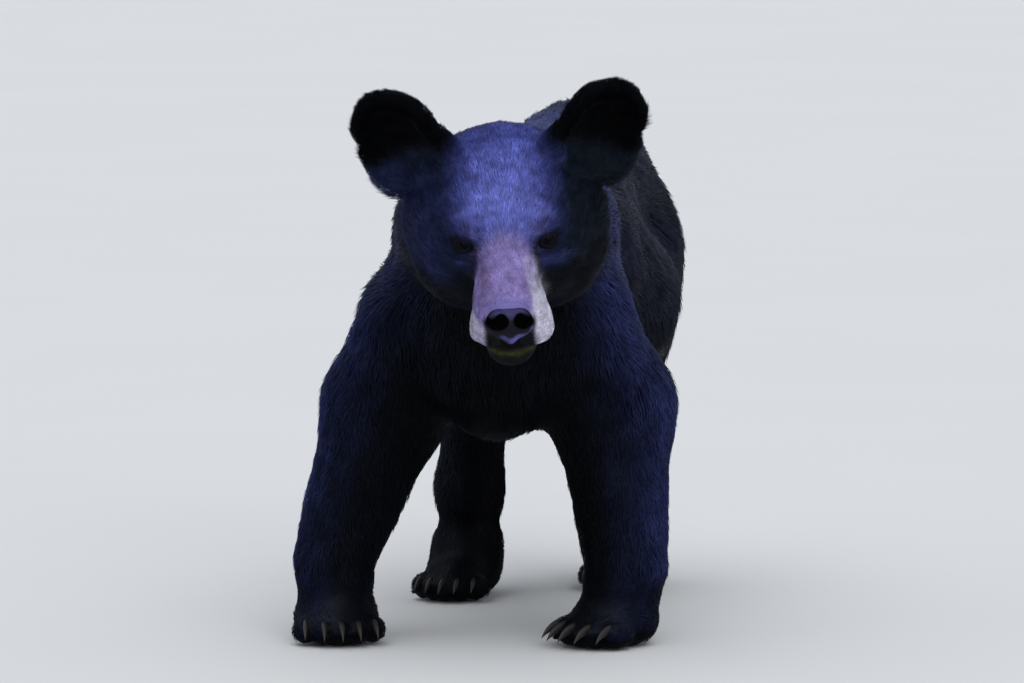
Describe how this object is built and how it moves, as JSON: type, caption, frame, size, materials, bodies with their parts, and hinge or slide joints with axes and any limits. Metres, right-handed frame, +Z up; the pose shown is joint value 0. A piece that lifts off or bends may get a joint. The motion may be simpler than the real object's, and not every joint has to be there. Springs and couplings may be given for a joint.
{
  "type": "black bear",
  "caption": "Life-size still model of a young black bear standing with its head lowered and turned to its left, in a short glossy dark coat with a tan muzzle.",
  "frame": {"origin": "on the floor, under the middle of the bear's bounding box", "axes": "+Z up, the bear faces -Y, its left side is +X and its tail is towards +Y"},
  "size_m": [0.5348, 1.2704, 0.7823],
  "materials": {
    "coat": "short, smooth near-black fur with a cool sheen where it faces the sky",
    "muzzle": "very short tan fur, brown along the bridge and cream towards the lips",
    "nose": "bare, finely pebbled skin, slightly moist",
    "eye": "wet and glossy, dark brown round a black pupil",
    "claw": "polished dark horn"
  },
  "bodies": {
    "root": {"claw_fore_left_1": "claw", "claw_fore_left_2": "claw", "claw_fore_left_3": "claw", "claw_fore_left_4": "claw", "claw_fore_left_5": "claw", "claw_fore_right_1": "claw", "claw_fore_right_2": "claw", "claw_fore_right_3": "claw", "claw_fore_right_4": "claw", "claw_fore_right_5": "claw", "claw_hind_left_1": "claw", "claw_hind_left_2": "claw", "claw_hind_left_3": "claw", "claw_hind_left_4": "claw", "claw_hind_left_5": "claw", "claw_hind_right_1": "claw", "claw_hind_right_2": "claw", "claw_hind_right_3": "claw", "claw_hind_right_4": "claw", "claw_hind_right_5": "claw", "ear_left": "coat", "ear_right": "coat", "eye_left": "eye", "eye_right": "eye", "fore_left": "coat", "fore_right": "coat", "forepaw_left": "coat", "forepaw_right": "coat", "head": "coat", "hind_left": "coat", "hind_right": "coat", "hindpaw_left": "coat", "hindpaw_right": "coat", "lower_jaw": "muzzle", "neck": "coat", "nose": "nose", "tail": "coat", "trunk": "coat"}
  },
  "joints": []
}
